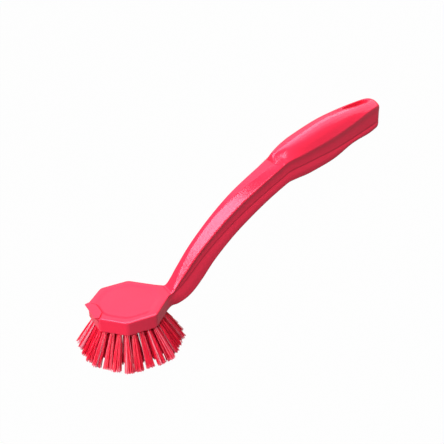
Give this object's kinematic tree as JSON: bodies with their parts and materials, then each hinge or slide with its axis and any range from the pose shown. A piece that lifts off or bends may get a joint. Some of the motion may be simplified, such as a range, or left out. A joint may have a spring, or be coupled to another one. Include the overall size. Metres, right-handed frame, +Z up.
{
  "type": "sink brush",
  "caption": "Sink brush: an octagonal head with splayed bristle tufts on wire anchors, a scraper lip, an arched neck and a thick grip with a hanging hole.",
  "frame": {"origin": "on the surface the brush rests on, under the middle of its bounding box", "axes": "+X from the head to the tail, +Y across the brush, +Z up, with the brush resting on its rear bristle tips and the underside of its tail"},
  "size_m": [0.2806, 0.0762, 0.0667],
  "materials": {
    "body_plastic": "injection-moulded red plastic, smooth satin gloss",
    "bristle_plastic": "extruded red filaments, slightly translucent, trimmed tips",
    "anchor_wire": "drawn flat wire, cut ends"
  },
  "bodies": {
    "root": {"handle_body": "body_plastic", "bristles_core": "bristle_plastic", "bristles_inner": "bristle_plastic", "bristles_middle": "bristle_plastic", "bristles_outer": "bristle_plastic", "anchor_core_01": "anchor_wire", "anchor_inner_01": "anchor_wire", "anchor_inner_02": "anchor_wire", "anchor_inner_03": "anchor_wire", "anchor_inner_04": "anchor_wire", "anchor_inner_05": "anchor_wire", "anchor_inner_06": "anchor_wire", "anchor_middle_01": "anchor_wire", "anchor_middle_02": "anchor_wire", "anchor_middle_03": "anchor_wire", "anchor_middle_04": "anchor_wire", "anchor_middle_05": "anchor_wire", "anchor_middle_06": "anchor_wire", "anchor_middle_07": "anchor_wire", "anchor_middle_08": "anchor_wire", "anchor_middle_09": "anchor_wire", "anchor_middle_10": "anchor_wire", "anchor_middle_11": "anchor_wire", "anchor_middle_12": "anchor_wire", "anchor_middle_13": "anchor_wire", "anchor_middle_14": "anchor_wire", "anchor_middle_15": "anchor_wire", "anchor_middle_16": "anchor_wire", "anchor_middle_17": "anchor_wire", "anchor_middle_18": "anchor_wire", "anchor_outer_01": "anchor_wire", "anchor_outer_02": "anchor_wire", "anchor_outer_03": "anchor_wire", "anchor_outer_04": "anchor_wire", "anchor_outer_05": "anchor_wire", "anchor_outer_06": "anchor_wire", "anchor_outer_07": "anchor_wire", "anchor_outer_08": "anchor_wire", "anchor_outer_09": "anchor_wire", "anchor_outer_10": "anchor_wire", "anchor_outer_11": "anchor_wire", "anchor_outer_12": "anchor_wire", "anchor_outer_13": "anchor_wire", "anchor_outer_14": "anchor_wire", "anchor_outer_15": "anchor_wire", "anchor_outer_16": "anchor_wire", "anchor_outer_17": "anchor_wire", "anchor_outer_18": "anchor_wire", "anchor_outer_19": "anchor_wire", "anchor_outer_20": "anchor_wire", "anchor_outer_21": "anchor_wire", "anchor_outer_22": "anchor_wire", "anchor_outer_23": "anchor_wire", "anchor_outer_24": "anchor_wire", "anchor_outer_25": "anchor_wire", "anchor_outer_26": "anchor_wire", "anchor_outer_27": "anchor_wire", "anchor_outer_28": "anchor_wire"}
  },
  "joints": []
}
